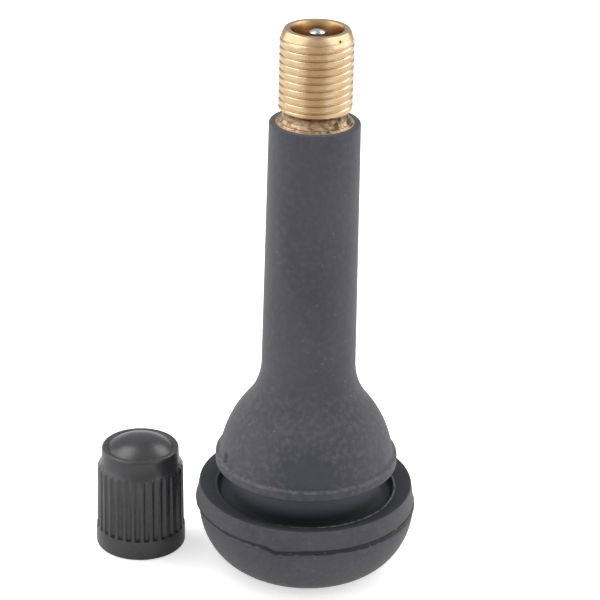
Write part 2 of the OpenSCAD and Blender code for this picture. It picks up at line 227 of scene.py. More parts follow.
@dataclass(frozen=True)
class Coat(Patterns):
    """A new material, and the places on its piece that its patterns follow."""

    material: Material

    @classmethod
    def named(cls, name: str) -> "Coat":
        """Start a material that holds only its shader.

        Args:
            name: what the real material is.

        Returns:
            The coat around the new material.
        """
        material = bpy.data.materials.new(name)
        material.use_nodes = True
        return cls(material.node_tree, material)

    @cached_property
    def place(self) -> Socket:
        """Place on the piece, in the model's frame."""
        return add_node(self.tree, "TexCoord").outputs["Object"]

    @cached_property
    def axes(self) -> bpy.types.NodeOutputs:
        """The place's X, Y and Z."""
        return add_node(self.tree, "SeparateXYZ", {0: self.place}).outputs

    @cached_property
    def radius(self) -> Socket:
        """Distance from the valve's axis."""
        return self.length(self.scaled((1, 1, 0)))

    def length(self, arm: Socket) -> Socket:
        """Length of a vector."""
        return add_node(self.tree, "VectorMath", {0: arm}, operation="LENGTH").outputs["Value"]

    def away_from(self, spot: Place) -> Socket:
        """Distance from a spot that is given in mm."""
        ends = {0: self.place, 1: Vector(spot) * MM}
        return add_node(self.tree, "VectorMath", ends, operation="DISTANCE").outputs["Value"]

    def scaled(self, scale: Place, shift: Place = (0.0, 0.0, 0.0)) -> Socket:
        """Scale the place along each axis; a pattern is drawn out where the scale is small.

        Args:
            scale: factor along each axis.
            shift: what is added after that.

        Returns:
            The scaled place's socket.
        """
        inputs = {"Vector": self.place, "Location": shift, "Scale": scale}
        return add_node(self.tree, "Mapping", inputs).outputs[0]

    def noise(self, place: Socket, size: float, detail: float) -> Socket:
        """Cloudy noise between 0 and 1.

        Args:
            place: where the noise is looked up, in metres.
            size: size of its largest clouds in mm.
            detail: number of finer layers in it.

        Returns:
            The noise's socket.
        """
        inputs = {"Vector": place, "Scale": 1 / (size * MM), "Detail": detail}
        return add_node(self.tree, "TexNoise", inputs).outputs[0]

    def bump(self, height: Socket, strength: float, depth: float, under: Any = None) -> Socket:
        """Relief that only the light sees.

        Args:
            height: the relief's pattern.
            strength: share of the relief that shows.
            depth: depth of the relief in mm.
            under: socket of the relief that this one lies on, if there is one.

        Returns:
            The normal's socket.
        """
        inputs = {"Height": height, "Strength": strength, "Distance": depth * MM}
        if under is not None:
            inputs["Normal"] = under
        return add_node(self.tree, "Bump", inputs).outputs[0]

    def finished(self, inputs: dict[int | str, Any]) -> Material:
        """Give the shader its inputs.

        Args:
            inputs: for each of the shader's sockets, a constant or the output socket that feeds it.

        Returns:
            The finished material.
        """
        fill(self.tree, self.tree.nodes["Principled BSDF"], inputs)
        return self.material


def arc(centre: Point, radius: float, start: float, end: float, steps: int) -> list[Point]:
    """Points along an arc of a half section.

    Args:
        centre: middle of the arc as radius and height.
        radius: radius of the arc.
        start: first angle in degrees, 0 outwards and 90 upwards.
        end: last angle in degrees.
        steps: number of chords.

    Returns:
        The points, both ends included.
    """
    angles = [math.radians(start + (end - start) * i / steps) for i in range(steps + 1)]
    return [(centre[0] + radius * math.cos(a), centre[1] + radius * math.sin(a)) for a in angles]


def softened(corners: list[Corner], steps: int = 4) -> list[Point]:
    """Round the corners of an outline.

    Args:
        corners: radius, height and rounding of each corner; a rounding of 0 leaves it sharp.
        steps: number of chords in each rounding.

    Returns:
        The points of the rounded outline.
    """
    points: list[Point] = []
    for i, (r, z, rounding) in enumerate(corners):
        here = Vector((r, z))
        if rounding == 0 or i in (0, len(corners) - 1):
            points.append((r, z))
            continue
        back = (Vector(corners[i - 1][:2]) - here).normalized()
        onward = (Vector(corners[i + 1][:2]) - here).normalized()
        half = back.angle(onward) / 2
        reach = rounding / math.tan(half)
        for k in range(steps + 1):
            t = k / steps
            curve = back * (reach * (1 - t) ** 2) + onward * (reach * t ** 2)
            points.append(tuple(here + curve))
    return points


def read_off(marks: list[Point], at: float) -> float:
    """Read a value off the straight lines through some marks.

    Args:
        marks: place and value of each mark, in rising order.
        at: the place to read at.

    Returns:
        The value there, or the last mark's where the marks don't reach.
    """
    for (a, low), (b, high) in zip(marks, marks[1:]):
        if a <= at <= b:
            return low + (high - low) * (at - a) / (b - a)
    return marks[-1][1]


def deselect_all() -> None:
    """Leave edit mode and deselect every object."""
    if bpy.context.object and bpy.context.object.mode != "OBJECT":
        bpy.ops.object.mode_set(mode="OBJECT")
    bpy.ops.object.select_all(action="DESELECT")


def make_active(piece: Piece) -> None:
    """Select one piece alone and make it the active one.

    Args:
        piece: the object to work on next.
    """
    deselect_all()
    piece.select_set(True)
    bpy.context.view_layer.objects.active = piece


@contextmanager
def editing(piece: Piece) -> Iterator[None]:
    """Open a piece in edit mode with all of its mesh selected, and close it again.

    Args:
        piece: the mesh object to edit.

    Yields:
        Nothing, while the piece is open.
    """
    make_active(piece)
    bpy.ops.object.mode_set(mode="EDIT")
    bpy.ops.mesh.select_mode(type="VERT")
    bpy.ops.mesh.select_all(action="SELECT")
    yield
    bpy.ops.object.mode_set(mode="OBJECT")


def select_by_place(piece: Piece, test: Callable[[Vector], bool]) -> int:
    """Select the vertices of the piece in edit mode that pass a test of their place.

    Args:
        piece: the mesh object that is open in edit mode.
        test: takes a place in metres.

    Returns:
        The number of vertices selected.
    """
    bpy.ops.mesh.select_all(action="DESELECT")
    mesh = bmesh.from_edit_mesh(piece.data)
    chosen = [v for v in mesh.verts if test(v.co)]
    for vertex in chosen:
        vertex.select_set(True)
    mesh.select_flush(True)
    bmesh.update_edit_mesh(piece.data)
    return len(chosen)


def drawn_line(name: str, places: list[Vector]) -> Piece:
    """Draw a line of vertices: merge a plane to its first one and extrude the others one by one.

    Args:
        name: name of the piece.
        places: the line's points in metres.

    Returns:
        The new object, open in edit mode with all of the line selected.
    """
    deselect_all()
    bpy.ops.mesh.primitive_plane_add(size=MM, location=(0, 0, 0))
    piece = bpy.context.object
    piece.name = piece.data.name = name
    bpy.ops.object.mode_set(mode="EDIT")
    bpy.ops.mesh.select_mode(type="VERT")
    bpy.ops.mesh.select_all(action="SELECT")
    bpy.ops.mesh.merge(type="CENTER")
    bpy.ops.transform.translate(value=places[0])
    for here, there in zip(places, places[1:]):
        bpy.ops.mesh.extrude_vertices_move(TRANSFORM_OT_translate={"value": there - here})
    bpy.ops.mesh.select_all(action="SELECT")
    return piece


def close_up() -> None:
    """Merge the doubles of the mesh in edit mode and turn its faces outwards."""
    bpy.ops.mesh.select_all(action="SELECT")
    bpy.ops.mesh.remove_doubles(threshold=MERGE)
    bpy.ops.mesh.normals_make_consistent(inside=False)


def turned(name: str, outline: list[Point], steps: int, axis: Point = (0.0, 0.0)) -> Piece:
    """Turn a piece on the lathe: spin its half section about an upright axis.

    Args:
        name: name of the piece.
        outline: radius and height of the section's points, in mm; the last point joins the first.
        steps: number of sides around.
        axis: place of the axis in mm.

    Returns:
        The closed piece, in object mode.
    """
    centre = Vector((axis[0], axis[1], 0)) * MM
    places = [centre + Vector((r, 0, z)) * MM for r, z in [*outline, outline[0]]]
    piece = drawn_line(name, places)
    bpy.ops.mesh.spin(steps=steps, angle=math.tau, center=centre, axis=(0, 0, 1))
    close_up()
    bpy.ops.mesh.dissolve_degenerate(threshold=MERGE)
    bpy.ops.object.mode_set(mode="OBJECT")
    return piece


def combine(piece: Piece, tool: Piece, how: Cut) -> None:
    """Let one solid act on another and remove it.

    Args:
        piece: the solid that stays.
        tool: the solid that acts on it.
        how: what the tool does.
    """
    make_active(piece)
    modifier = piece.modifiers.new(how.name.lower(), "BOOLEAN")
    modifier.operation = how.value
    modifier.solver = "EXACT"
    modifier.object = tool
    bpy.ops.object.modifier_apply(modifier=modifier.name)
    bpy.data.objects.remove(tool)


def smooth(piece: Piece, angle: float = 32) -> None:
    """Merge a finished mesh's doubles and shade it smooth, up to an angle.

    Args:
        piece: the mesh object.
        angle: edges sharper than this, in degrees, stay sharp.
    """
    with editing(piece):
        close_up()
    bpy.ops.object.shade_smooth_by_angle(angle=math.radians(angle))


def hand_over(piece: Piece, body: str, slot: str, *nodes: str) -> None:
    """Let a finished piece ride on its CAD body and stand for its CAD nodes.

    Args:
        piece: the finished mesh object.
        body: CAD body that it moves with.
        slot: not used.
        nodes: CAD nodes that it replaces.
    """
    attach(piece, body)
    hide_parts(*nodes)
    LOG.info("%s: %d faces on %s, for %s", piece.name, len(piece.data.polygons), body, ", ".join(nodes))


@dataclass(frozen=True)
class Thread:
    """A right-handed screw thread of 60 degrees, solid to its axis."""

    crest_r: float
    root_r: float
    pitch: float
    foot: float
    top: float
    axis: Point = (0.0, 0.0)
    phase: float = 0.0
    crest_round: float = 0.09
    root_round: float = 0.05
    steps: int = 72

    def profile(self) -> list[Point]:
        """Draw one pitch of the thread, from the middle of a root to the next.

        Returns:
            Radius and rise of its points.
        """
        flank = (self.crest_r - self.root_r) * math.tan(math.radians(30))
        root = self.pitch / 16
        crest = self.pitch - 2 * flank - 2 * root
        return softened([
            (self.root_r, 0, 0),
            (self.root_r, root, self.root_round),
            (self.crest_r, root + flank, self.crest_round),
            (self.crest_r, root + flank + crest, self.crest_round),
            (self.root_r, root + 2 * flank + crest, self.root_round),
            (self.root_r, self.pitch, 0),
        ], steps=2)

    def build(self, name: str) -> Piece:
        """Make the threaded rod.

        Args:
            name: name of the rod.

        Returns:
            A closed rod from foot to top.
        """
        start = self.foot + (self.phase % 1 - 2) * self.pitch
        turns = math.ceil((self.top - start) / self.pitch) + 1
        rod = drawn_line(name, [Vector((r, 0, start + rise)) * MM for r, rise in self.profile()])
        bpy.ops.object.mode_set(mode="OBJECT")
        screw = rod.modifiers.new("screw", "SCREW")
        screw.angle = math.tau
        screw.screw_offset = self.pitch * MM
        screw.iterations = turns
        screw.steps = screw.render_steps = self.steps
        screw.use_merge_vertices = True
        screw.merge_threshold = MERGE
        bpy.ops.object.modifier_apply(modifier=screw.name)
        with editing(rod):
            close_up()
            for height, top in ((self.foot, False), (self.top, True)):
                bpy.ops.mesh.select_all(action="SELECT")
                bpy.ops.mesh.bisect(
                    plane_co=(0, 0, height * MM), plane_no=(0, 0, 1), use_fill=True,
                    clear_inner=not top, clear_outer=top, threshold=MERGE,
                )
            close_up()
            bpy.ops.transform.translate(value=Vector((*self.axis, 0)) * MM)
        return rod


@dataclass(frozen=True)
class DustyRubber:
    """Moulded rubber that has lain about: matt grey, with dust on all that stands out.

    The dust gives it a dull purple-grey veil with pale specks, and the rim groove, which dust
    doesn't reach, stays almost black.
    """

    veil: str = "#504f54"
    thin_veil: str = "#47464b"
    pale: str = "#5f5e63"
    bare: str = "#1f2528"
    ring: str = "#414447"
    # Painted light on the top of the groove's neck
    neck: str = "#596165"
    wiped: str = "#3c464a"
    # Near black: the smudge, the flash's edge and the painted shadow under the lip
    near_black: str = "#242429"
    # Pale dust specks; also the colour of the painted light on the dome's foot and of the painted highlights
    # on the lip and the rib
    speck: str = "#7b7a80"
    roughness: float = 0.75
    ior: float = 1.45
    gloss: float = 0.22
    sheen: float = 0.2
    lost_in_groove: float = 0.7
    blotch: float = 4.0
    mottle: float = 0.6
    grit: float = 0.35
    specks_apart: float = 1.5
    dusty_from: float = 12.0
    dusty_to: float = 20.0
    mark_place: Point = (0.43, 14.65)
    mark_size: Point = (3.57, 2.82)
    smudge_place: Place = (-8.75, -3.6, 13.8)
    smudge_r: float = 1.0

    def material(self, body: "RubberBody") -> Material:
        """Make the material, with its zones taken from the body's sizes.

        Args:
            body: the rubber body that wears it.

        Returns:
            The new material.
        """
        coat = Coat.named("dusty_moulded_rubber")
        mottling = coat.noise(coat.place, self.mottle, 5)
        grit = coat.noise(coat.place, self.grit, 3)
        bare = self.bare_zone(coat, body)
        colour = self.dusted(coat, mottling)
        colour = self.finger_mark(coat, mottling, colour)
        colour = self.smudge(coat, mottling, colour)
        colour = self.groove(coat, bare, body, colour)
        colour = self.lip_edges(coat, mottling, body, colour)
        colour = self.flash(coat, grit, body, colour)
        grain = coat.bump(grit, 0.35, 0.03)
        lost = self.lost_in_groove
        return coat.finished({
            "Base Color": colour,
            "Normal": coat.bump(mottling, 0.35, 0.06, under=grain),
            "Roughness": self.roughness,
            "IOR": self.ior,
            "Specular IOR Level": coat.calc(Sum.TIMES_PLUS, bare, -lost * self.gloss, self.gloss),
            "Sheen Weight": coat.calc(Sum.TIMES_PLUS, bare, -lost * self.sheen, self.sheen),
        })

    def dusted(self, coat: Coat, mottling: Socket) -> Socket:
        """Lay the veil of dust on the rubber, with blotches and a few pale specks, and paint light on the
        foot of the dome.

        Args:
            coat: the material in work.
            mottling: noise that breaks the veil.

        Returns:
            The colour's socket.
        """
        blotches = coat.noise(coat.scaled((1, 1, 0.3)), self.blotch, 5)
        colour = coat.mix(coat.ramp(blotches, 0.35, 0.65), self.thin_veil, self.veil)
        # The bulb has the most dust
        bulb = coat.zone(coat.axes["Z"], self.dusty_from, self.dusty_to, 4)
        most = coat.calc(Sum.TIMES_PLUS, bulb, 0.35, 0.3)
        colour = coat.mix(coat.ramp(mottling, 0.45, 0.7, 0, most), colour, self.pale)
        # Painted light: the foot of the dome is painted paler, for the light that the table bounces onto it
        foot = coat.ramp(coat.axes["Z"], 0.4 * MM, 2.0 * MM, 0.8, 0)
        colour = coat.mix(foot, colour, self.speck)
        cells = {"Vector": coat.place, "Scale": 1 / (self.specks_apart * MM)}
        specks = add_node(coat.tree, "TexVoronoi", cells).outputs["Distance"]
        return coat.mix(coat.ramp(specks, 0.03, 0.13, 0.4, 0), colour, self.speck)

    def finger_mark(self, coat: Coat, mottling: Socket, colour: Socket) -> Socket:
        """Wipe the dust off a patch at the front of the bulb, which leaves it greener and darker.

        Args:
            coat: the material in work.
            mottling: noise that breaks the patch's edge.
            colour: colour so far.

        Returns:
            The colour with the patch in it.
        """
        (x, z), (width, height) = self.mark_place, self.mark_size
        seen = coat.scaled((1 / (width * MM), 0, 1 / (height * MM)), (-x / width, 0, -z / height))
        away = coat.calc(Sum.TIMES_PLUS, mottling, 0.9, coat.length(seen))
        patch = coat.ramp(away, 1.1, 1.6, 0.75, 0, eased=True)
        front = coat.calc(Sum.BELOW, coat.axes["Y"], 0)
        return coat.mix(coat.product(patch, front), colour, self.wiped)

    def smudge(self, coat: Coat, mottling: Socket, colour: Socket) -> Socket:
        """Put the dark smudge on the left of the bulb, just over the lip.

        Args:
            coat: the material in work.
            mottling: noise that breaks the smudge's edge.
            colour: colour so far.

        Returns:
            The colour with the smudge in it.
        """
        away = coat.calc(Sum.TIMES_PLUS, mottling, 1.2 * MM, coat.away_from(self.smudge_place))
        dark = coat.product(coat.zone(away, 0, self.smudge_r, 0.4), 0.85)
        return coat.mix(dark, colour, self.near_black)

    def bare_zone(self, coat: Coat, body: "RubberBody") -> Socket:
        """Mask the rim groove and the sealing ring.

        Args:
            coat: the material in work.
            body: the rubber body that wears the material.

        Returns:
            The mask's socket.
        """
        inward = coat.zone(coat.radius, 0, body.flange_r - 0.15, 0.12)
        between = coat.zone(coat.axes["Z"], body.dish_floor - 0.1, body.lip_foot - 0.1, 0.15)
        return coat.product(inward, between)

    def groove(self, coat: Coat, bare: Socket, body: "RubberBody", colour: Socket) -> Socket:
        """Leave the rim groove bare, darker at its front than at its sides and back, and paint light on the
        top of its neck.

        Args:
            coat: the material in work.
            bare: mask of the groove.
            body: the rubber body that wears the material.
            colour: colour so far.

        Returns:
            The colour with the groove in it.
        """
        side = coat.ramp(coat.axes["Y"], -8.5 * MM, -2.0 * MM)
        # Painted light: the neck is painted lighter towards its top, which light from the table reaches
        # under the lip, and darker at its foot, which the ring shades
        rise = coat.ramp(coat.axes["Z"], (body.flange_top - 0.4) * MM, (body.lip_foot - 1.5) * MM)
        rubber = coat.mix(rise, coat.mix(side, self.bare, self.ring), self.neck)
        return coat.mix(coat.product(bare, 0.92), colour, rubber)

    def lip_edges(self, coat: Coat, mottling: Socket, body: "RubberBody", colour: Socket) -> Socket:
        """Paint a shadow along the lip's lower edge and broken lines of painted highlight on the lip's top
        edge, with some dust, and on the ring's rib at the right.

        Args:
            coat: the material in work.
            mottling: noise that breaks the lines.
            body: the rubber body that wears the material.
            colour: colour so far.

        Returns:
            The colour with the edges in it.
        """
        height = coat.axes["Z"]
        lip = coat.zone(coat.radius, body.bulb_r, body.lip_r, 0.1)
        # Painted shadow: a dark line along the lip's lower edge
        low = coat.zone(height, body.lip_foot - 0.05, body.lip_foot + 0.1, 0.1)
        colour = coat.mix(coat.product(low, lip, 0.7), colour, self.near_black)
        # Painted highlights: broken pale lines along the lip's top edge, partly dust, and along the ring's
        # rib, on its right only
        high = coat.zone(height, body.lip_top - 0.12, body.lip_top + 0.02, 0.06)
        rib = coat.zone(coat.radius, body.ring_r - 0.03, body.ring_r + 0.17, 0.03)
        seat = coat.zone(height, body.dish_floor + 0.6, body.flange_top, 0.05)
        right = coat.ramp(coat.axes["X"], -4 * MM, 3 * MM)
        dust = coat.calc(Sum.LARGEST, coat.product(high, lip, 0.5), coat.product(rib, seat, right))
        broken = coat.ramp(mottling, 0.35, 0.6, 0.15, 0.85)
        return coat.mix(coat.product(dust, broken), colour, self.speck)

    def flash(self, coat: Coat, grit: Socket, body: "RubberBody", colour: Socket) -> Socket:
        """Darken the flash's outer edge, near black with a few pale crumbs.

        Args:
            coat: the material in work.
            grit: fine noise that places the crumbs.
            body: the rubber body that wears the material.
            colour: colour so far.

        Returns:
            The colour with the flash in it.
        """
        edge = coat.zone(coat.radius, body.flash_r - 0.09, body.flash_r + 1, 0.06)
        crumbs = coat.ramp(grit, 0.66, 0.74)
        return coat.mix(edge, colour, coat.mix(crumbs, self.near_black, self.speck))


@dataclass(frozen=True)
class TurnedBrass:
    """Bar brass cut on an automatic lathe: bright and warm, with soft streaks around it.

    It is painted browner in the thread's roots, as shade, and is browner in the bore; the neck that the
    mould gripped is stained pink and brown with black specks, with a painted shadow just under the thread.
    """

    name: str = "turned_brass"
    bright: str = "#d3bc9b"
    warm: str = "#c9ab84"
    root: str = "#ad8657"
    stained: str = "#bda48c"
    brown: str = "#7a5c42"
    # Dark grime, also the colour of the painted shadow under the thread
    grime_and_shadow: str = "#3b2f22"
    roughness: float = 0.22
    streak: float = 0.25
    patch: float = 1.6
    speck: float = 0.45
    nick: Place = (2.3, -2.75, 60.98)
    nick_r: float = 0.1
    stained_below: float = 0.0
    shoulder_r: float = 0.0
    root_r: float = 0.0
    crest_r: float = 1.0
    bore_r: float = 0.0

    def material(self) -> Material:
        """Make the material.

        Returns:
            The new material.
        """
        coat = Coat.named(self.name)
        patches = coat.noise(coat.place, self.patch, 4)
        streaks = coat.noise(coat.scaled((0.25, 0.25, 1)), self.streak, 2)
        edge = 0.1
        stain = coat.ramp(
            coat.axes["Z"], (self.stained_below - edge) * MM, (self.stained_below + edge) * MM, 0.85, 0,
        )
        dull = coat.calc(Sum.TIMES_PLUS, stain, 0.25, self.roughness)
        return coat.finished({
            "Base Color": self.stains(coat, patches, stain, self.cut_metal(coat, patches)),
            "Metallic": 1,
            "Roughness": coat.calc(Sum.TIMES_PLUS, streaks, 0.12, dull),
            "Normal": coat.bump(streaks, 0.3, 0.02),
        })

    def cut_metal(self, coat: Coat, patches: Socket) -> Socket:
        """Colour the clean metal, warmer in patches, with painted shade in the thread's roots and browner in
        the bore.

        Args:
            coat: the material in work.
            patches: noise that places the warmer patches.

        Returns:
            The colour's socket.
        """
        colour = coat.mix(coat.ramp(patches, 0.4, 0.7), self.bright, self.warm)
        # Painted shade: browner in the thread's roots; the bore is browner as well
        depth = coat.zone(coat.radius, self.root_r - 0.2, self.root_r + 0.02, self.crest_r - self.root_r)
        bored = coat.zone(coat.radius, 0, self.bore_r, 0.12)
        brown = coat.calc(Sum.LARGEST, coat.product(depth, 0.1), coat.product(bored, 0.6))
        return coat.mix(brown, colour, self.root)

    def stains(self, coat: Coat, patches: Socket, stain: Socket, colour: Socket) -> Socket:
        """Stain the neck, but for the edges of its shoulder, paint a shadow just under the thread, and mark
        the nick at the mouth.

        Args:
            coat: the material in work.
            patches: noise that places the dark patches of dirt.
            stain: mask of the neck.
            colour: colour so far.

        Returns:
            The colour with the stains in it.
        """
        colour = coat.mix(stain, colour, self.stained)
        rim = coat.zone(coat.radius, self.shoulder_r - 0.1, self.shoulder_r, 0.05)
        ledge = coat.zone(coat.radius, self.shoulder_r - 0.34, self.shoulder_r - 0.28, 0.05)
        inside = coat.calc(Sum.MINUS, 1, coat.calc(Sum.LARGEST, rim, ledge))
        mould = coat.ramp(coat.noise(coat.place, self.speck, 3), 0.42, 0.6, 0, 0.9)
        colour = coat.mix(coat.product(mould, inside, stain), colour, self.brown)
        grime_and_shadow = coat.product(coat.ramp(patches, 0.53, 0.59), inside)
        # Painted shadow: a dark band just under the thread's run-out
        corner = coat.zone(coat.axes["Z"], self.stained_below - 0.35, self.stained_below - 0.1, 0.08)
        grime_and_shadow = coat.product(coat.calc(Sum.LARGEST, grime_and_shadow, coat.product(corner, 0.5)), stain)
        nick = coat.zone(coat.away_from(self.nick), 0, self.nick_r, 0.1)
        return coat.mix(coat.calc(Sum.LARGEST, grime_and_shadow, nick), colour, self.grime_and_shadow)


@dataclass(frozen=True)
class BrightMetal:
    """Plated or drawn steel: a clean grey mirror, broken by fine scuffs."""

    name: str
    bright: str
    dull: str
    roughness: float
    scuff: float = 0.3

    def material(self) -> Material:
        """Make the material.

        Returns:
            The new material.
        """
        coat = Coat.named(self.name)
        worn = coat.ramp(coat.noise(coat.place, self.scuff, 4), 0.45, 0.75)
        return coat.finished({
            "Base Color": coat.mix(worn, self.bright, self.dull),
            "Metallic": 1,
            "Roughness": coat.calc(Sum.TIMES_PLUS, worn, 0.2, self.roughness),
        })


@dataclass(frozen=True)
class SoftBlack:
    """Moulded black rubber or plastic: dark, with a skin that breaks its gloss."""

    name: str
    base: str
    worn: str
    roughness: float
    ior: float
    cloud: float = 2.5
    grain: float = 0.25
    grain_depth: float = 0.01

    def material(self) -> Material:
        """Make the material.

        Returns:
            The new material.
        """
        coat = Coat.named(self.name)
        worn = coat.ramp(coat.noise(coat.place, self.cloud, 4), 0.4, 0.75)
        return coat.finished({
            "Base Color": coat.mix(worn, self.base, self.worn),
            "Roughness": coat.calc(Sum.TIMES_PLUS, worn, 0.1, self.roughness),
            "Normal": coat.bump(coat.noise(coat.place, self.grain, 3), 0.25, self.grain_depth),
            "IOR": self.ior,
        })


@dataclass
class RubberBody:
    """The rubber that is moulded on the stem: base, rim groove, bulb and sleeve."""

    base_hole_r: float = 2.5
    base_hole_round: float = 0.2
    base_flat_r: float = 6.4
    dome_r: float = 11.95
    dome_h: float = 6.9
    flash_r: float = 12.2
    flash_top: float = 7.4
    flash_tear: float = 0.16
    flange_foot_r: float = 12.07
    flange_r: float = 11.75
    flange_top: float = 9.4
    ring_r: float = 9.8
    ring_drop: float = 0.6
    rib_h: float = 0.11
    dish_wall: float = 0.3
    dish_floor: float = 8.2
    neck_r: float = 8.3
    lip_foot: float = 12.05
    lip_top: float = 13.15
    lip_r: float = 10.0
    bulb_r: float = 9.55
    bulb_arc_r: float = 12.0
    bulb_lean: float = 7.5
    hollow_r: float = 7.6
    sleeve_foot_r: float = 5.1
    sleeve_top_r: float = 4.78
    sleeve_top: float = 51.5
    sleeve_round: float = 0.2
    shoulder_r: float = 4.1
    shoulder_foot: float = 48.5
    shank_r: float = 3.4
    foot_r: float = 4.8
    foot_z: float = 2.6
    foot_top: float = 5.0
    mould_shift: float = 0.16
    steps: int = 320
    finish: DustyRubber = field(default_factory=DustyRubber)

    def cavity(self) -> list[Point]:
        """Draw the hollow that the stem fills, from its top to its foot.

        Returns:
            Points of its half section.
        """
        return [
            (self.shoulder_r, self.sleeve_top),
            (self.shoulder_r, self.shoulder_foot),
            (self.shank_r, self.shoulder_foot - (self.shoulder_r - self.shank_r)),
            (self.shank_r, self.foot_top + self.foot_r - self.shank_r),
            (self.foot_r, self.foot_top),
            (self.foot_r, self.foot_z),
            (self.base_hole_r, self.foot_z),
        ]

    def base(self) -> list[Point]:
        """Draw the base, from the air hole over the dome, flash and flange to the lip.

        Returns:
            Points of its half section.
        """
        dome_steps = 20
        dome_w = self.dome_r - self.base_flat_r
        angles = [math.pi / 2 * i / dome_steps for i in range(dome_steps)]
        dome = [
            (self.base_flat_r + dome_w * math.sin(a), self.dome_h * (1 - math.cos(a))) for a in angles
        ]
        hole = softened([
            (self.base_hole_r, self.foot_z, 0),
            (self.base_hole_r, 0, self.base_hole_round),
            (4, 0, 0),
        ])
        ring_z = self.flange_top - self.ring_drop
        rim = softened([
            (self.dome_r, self.dome_h - 0.12, 0),
            (self.flash_r - 0.05, self.dome_h - 0.02, 0.08),
            (self.flash_r, self.flash_top - 0.08, 0.08),
            (self.flange_foot_r, self.flash_top + 0.02, 0.05),
            (self.flange_r, self.flange_top, 0.12),
            (self.ring_r + 0.24, ring_z + 0.06, 0.03),
            (self.ring_r + 0.14, ring_z + self.rib_h, 0.03),
            (self.ring_r, ring_z + self.rib_h, 0.03),
            (self.ring_r - self.dish_wall, self.dish_floor, 0.2),
            (self.neck_r, self.dish_floor, 0.3),
            (self.neck_r, self.lip_foot, 0.3),
            (self.lip_r, self.lip_foot, 0.12),
            (self.lip_r, self.lip_top, 0.25),
            (self.bulb_r, self.lip_top, 0.3),
            (*self.stalk()[0], 0),
        ])
        return [*hole, *dome, *rim[:-1]]

    def stalk(self) -> list[Point]:
        """Draw the stalk, from the lip over the bulb and the hollow to the sleeve's end.

        Returns:
            Points of its half section.
        """
        lean = math.radians(self.bulb_lean)
        bulb_c = (
            self.bulb_r - self.bulb_arc_r * math.cos(lean),
            self.lip_top - self.bulb_arc_r * math.sin(lean),
        )
        across = self.sleeve_foot_r + self.hollow_r - bulb_c[0]
        rise = math.sqrt((self.bulb_arc_r + self.hollow_r) ** 2 - across ** 2)
        meet = math.degrees(math.atan2(rise, across))
        hollow_c = (self.sleeve_foot_r + self.hollow_r, bulb_c[1] + rise)
        end_c = (self.sleeve_top_r - self.sleeve_round, self.sleeve_top - self.sleeve_round)
        taper = self.sleeve_top_r - self.sleeve_foot_r
        length = end_c[1] - hollow_c[1]
        return [
            *arc(bulb_c, self.bulb_arc_r, self.bulb_lean, meet, 16)[1:],
            *arc(hollow_c, self.hollow_r, 180 + meet, 180, 14)[1:],
            *[(self.sleeve_foot_r + taper * t, hollow_c[1] + length * t) for t in (0.25, 0.5, 0.75)],
            *arc(end_c, self.sleeve_round, 0, 90, 5),
        ]

    def flash_drop(self, bearing: float) -> float:
        """How far the mould's halves drop the flash, in mm, at a bearing from the front in degrees."""
        return read_off([(-180, 0.0), (-20.5, 0.0), (-15, 0.42), (0, 0.1), (90, 0.1), (180, 0.0)], bearing)

    def build(self) -> Piece:
        """Make the rubber.

        Returns:
            The finished mesh, without its material.
        """
        piece = turned("rubber_moulding", [*self.base(), *self.stalk(), *self.cavity()[:-1]], self.steps)
        self.tear_flash(piece)
        smooth(piece, 38)
        return piece

    def tear_flash(self, piece: Piece) -> None:
        """Set the mould's halves a little apart, let the flash wander from its line and tear its edge.

        Args:
            piece: the turned rubber.
        """
        middle = (self.dome_h + self.flash_top) / 2
        reach = 1.0
        edge = piece.vertex_groups.new(name="flash_edge")
        for vertex in piece.data.vertices:
            r, z = vertex.co.xy.length / MM, vertex.co.z / MM
            if z < middle:
                outside = min(max((r - self.foot_r) / (self.base_flat_r - self.foot_r), 0), 1)
                vertex.co.x += self.mould_shift * outside * MM
            if r < self.flange_r - 0.5:
                continue
            share = max(0.0, 1 - max(0.0, abs(z - middle) - 0.3) / reach)
            bearing = math.degrees(math.atan2(vertex.co.x, -vertex.co.y))
            vertex.co.z -= self.flash_drop(bearing) * share * MM
            if r > self.flange_foot_r + 0.04:
                edge.add([vertex.index], 1.0, "REPLACE")
        tear = bpy.data.textures.new("flash_tear", "CLOUDS")
        tear.noise_scale = 0.9 * MM
        make_active(piece)
        ragged = piece.modifiers.new("ragged", "DISPLACE")
        ragged.texture = tear
        ragged.texture_coords = "LOCAL"
        ragged.vertex_group = edge.name
        ragged.mid_level = 0.75
        ragged.strength = self.flash_tear * MM
        bpy.ops.object.modifier_apply(modifier=ragged.name)
        for vertex in piece.data.vertices:
            over = vertex.co.xy.length / (self.flash_r * MM)
            if over > 1:
                vertex.co.xy /= over

    def dress(self, piece: Piece) -> None:
        """Give the rubber its finish and hand it to the frame."""
        piece.data.materials.append(self.finish.material(self))
        hand_over(piece, "valve", "body_rubber", "rubber_body")


